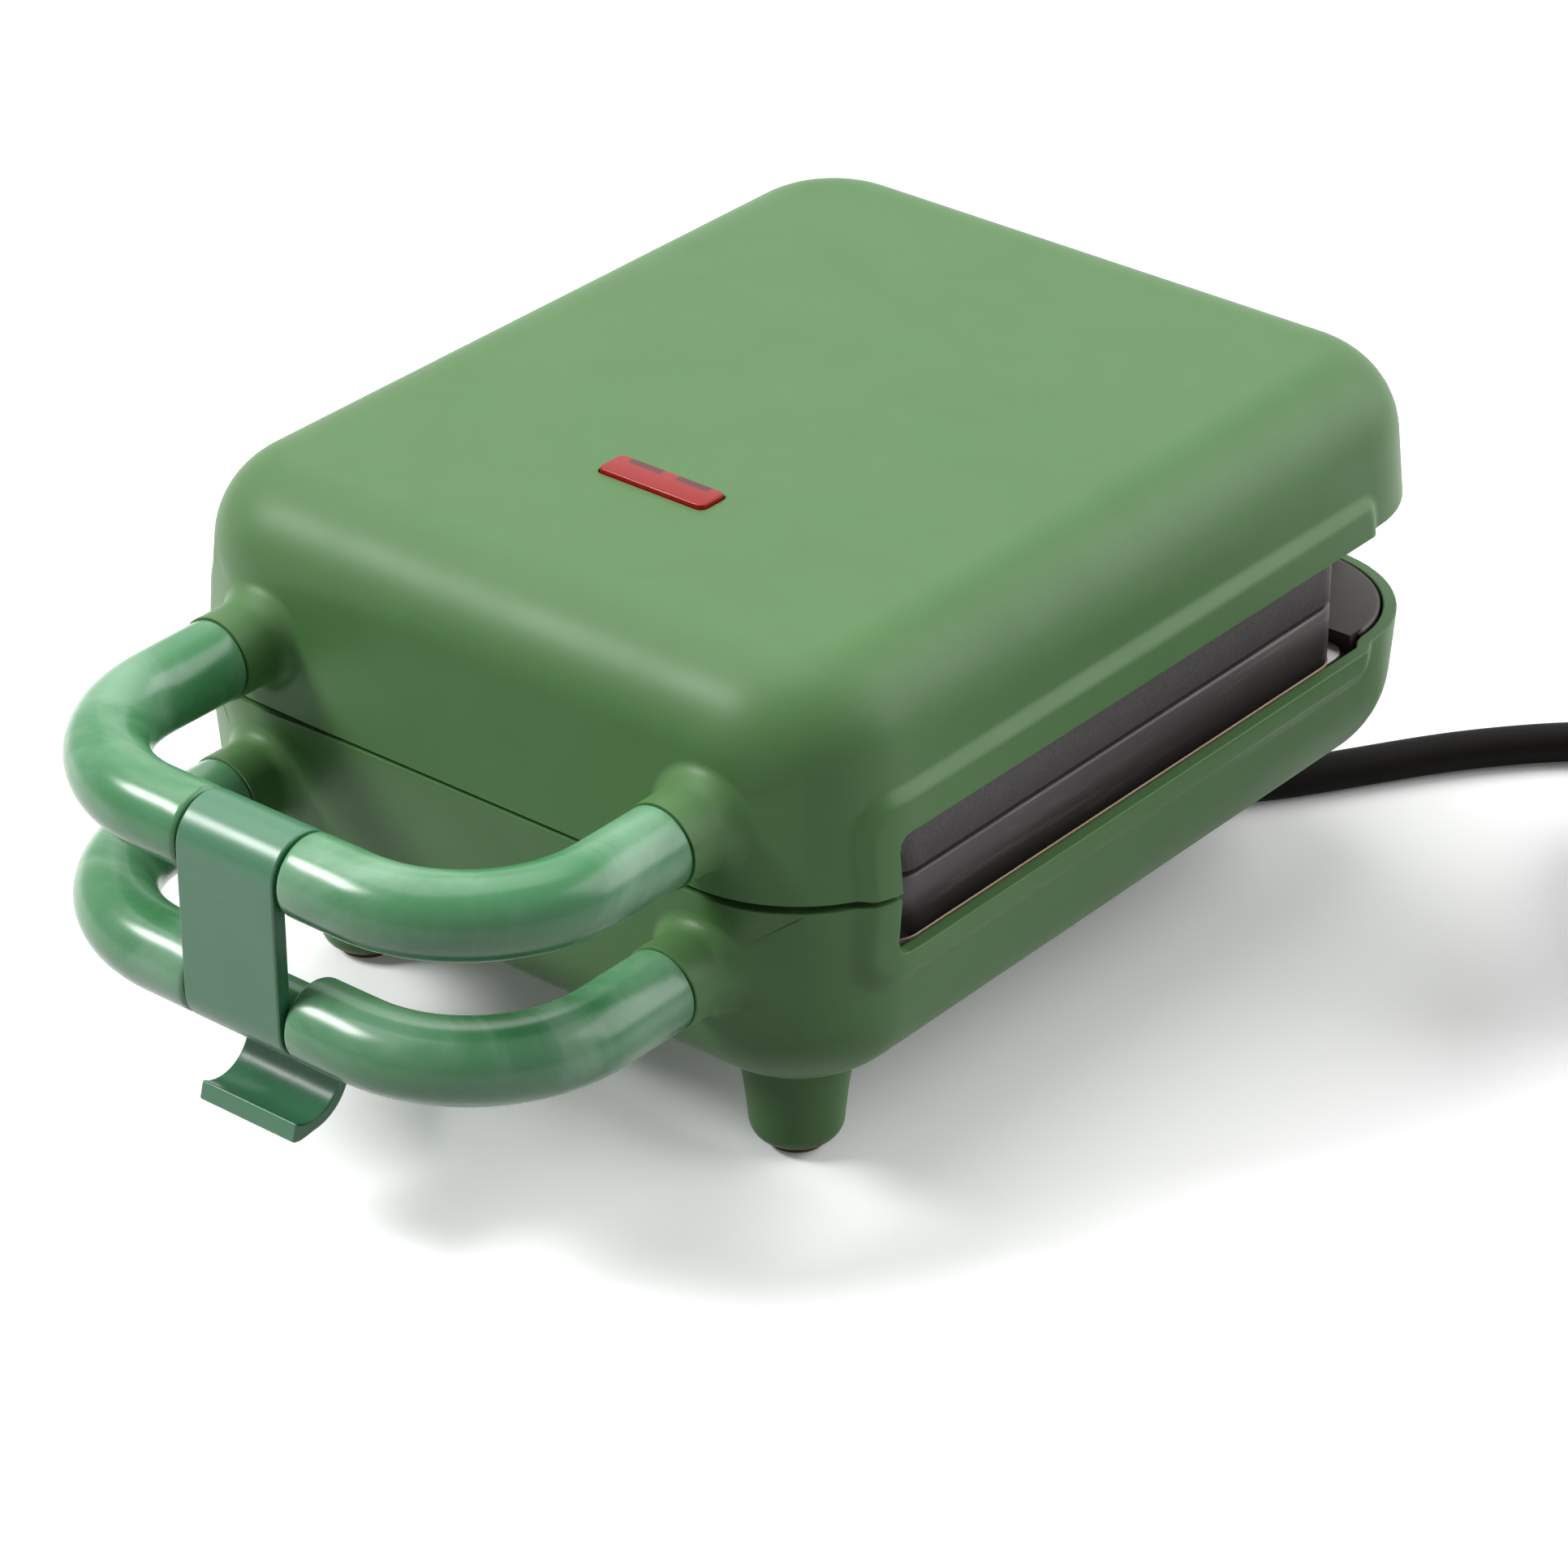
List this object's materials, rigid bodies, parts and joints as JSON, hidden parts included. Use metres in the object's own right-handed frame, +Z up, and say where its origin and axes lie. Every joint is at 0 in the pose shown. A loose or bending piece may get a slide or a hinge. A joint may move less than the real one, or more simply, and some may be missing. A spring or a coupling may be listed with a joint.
{
  "type": "countertop snack maker",
  "caption": "Compact electric snack maker: hinged lid over clip-in plates, bent tube handles, latch clip, feet and mains lead.",
  "frame": {"origin": "centre of the bounding box without the cord, on the surface under the feet", "axes": "+X to the right seen from the handles, +Y from the handles to the hinge, +Z up"},
  "size_m": [0.2435, 0.273, 0.0867],
  "materials": {
    "housing_green": "satin green moulded plastic",
    "handle_marbled": "glossy green plastic, marbled light and dark",
    "clip_green": "satin dark green plastic",
    "lens_red": "clear red plastic",
    "plate_coated": "cast metal with a dark matt coating",
    "frame_dark": "matt black-brown heat-proof plastic",
    "sheet_bright": "bright pressed sheet",
    "element_grey": "grey tubular element",
    "steel_bright": "zinc-plated steel",
    "brass_yellow": "brass",
    "rubber_brown": "brown rubber",
    "cord_black": "satin black flexible plastic",
    "ceramic_white": "off-white heat-proof body",
    "lamp_amber": "amber glass",
    "lamp_green": "green glass",
    "wire_blue": "blue insulation",
    "wire_brown": "brown insulation",
    "wire_striped": "green and yellow insulation",
    "wire_white": "white woven insulation"
  },
  "bodies": {
    "base": {"base_shell": "housing_green", "lower_handle": "handle_marbled", "lower_plate": "plate_coated", "lower_frame": "frame_dark", "lower_reflector": "sheet_bright", "lower_heater": "element_grey", "lower_thermostat": "ceramic_white", "terminal_block": "ceramic_white", "thermal_fuse": "steel_bright", "hinge_pin_left": "steel_bright", "hinge_pin_right": "steel_bright", "base_screw_front_left": "steel_bright", "base_screw_front_right": "steel_bright", "base_screw_rear_left": "steel_bright", "base_screw_rear_right": "steel_bright", "lower_handle_screw_left": "steel_bright", "lower_handle_screw_right": "steel_bright", "foot_pad_front_left": "rubber_brown", "foot_pad_front_right": "rubber_brown", "foot_pad_rear_left": "rubber_brown", "foot_pad_rear_right": "rubber_brown", "cord_strain_relief": "cord_black", "power_cord": "cord_black", "cord_coil": "cord_black", "plug_lead": "cord_black", "cord_tie": "cord_black", "plug_body": "cord_black", "plug_pin_line": "brass_yellow", "plug_pin_neutral": "brass_yellow", "plug_pin_earth": "brass_yellow", "neutral_core": "wire_blue", "neutral_wire": "wire_blue", "live_core": "wire_brown", "live_wire": "wire_brown", "earth_core": "wire_striped", "earth_wire": "wire_striped", "fuse_wire": "wire_white", "heater_wire": "wire_white"},
    "lid": {"lid_shell": "housing_green", "upper_frame": "frame_dark", "upper_reflector": "sheet_bright", "upper_heater": "element_grey", "upper_plate": "plate_coated", "upper_thermostat": "ceramic_white", "upper_handle": "handle_marbled", "upper_handle_screw_left": "steel_bright", "upper_handle_screw_right": "steel_bright", "lid_screw_front_left": "steel_bright", "lid_screw_front_right": "steel_bright", "lid_screw_rear_left": "steel_bright", "lid_screw_rear_right": "steel_bright", "indicator_lens": "lens_red", "lamp_holder": "frame_dark", "power_lamp": "lamp_amber", "ready_lamp": "lamp_green", "lamp_wire": "wire_white"},
    "latch_clip": {"latch_clip": "clip_green"},
    "upper_plate_latch": {"upper_plate_latch": "frame_dark"},
    "lower_plate_latch": {"lower_plate_latch": "frame_dark"}
  },
  "joints": [
    {"name": "lid_hinge", "type": "hinge", "parent": "base", "child": "lid", "pos_m": [0, 0.1033, 0.0526], "axis": [-1, 0, 0], "range_deg": [0, 100]},
    {"name": "clip_pivot", "type": "hinge", "parent": "lid", "child": "latch_clip", "pos_m": [0, -0.1019, 0.0636], "axis": [-1, 0, 0], "range_deg": [0, 80]},
    {"name": "upper_latch_slide", "type": "slide", "parent": "lid", "child": "upper_plate_latch", "axis": [0, -1, 0], "range_m": [0, 0.003], "stiffness_N_per_m": 150, "springref_m": -0.002},
    {"name": "lower_latch_slide", "type": "slide", "parent": "base", "child": "lower_plate_latch", "axis": [0, -1, 0], "range_m": [0, 0.003], "stiffness_N_per_m": 150, "springref_m": -0.002}
  ]
}
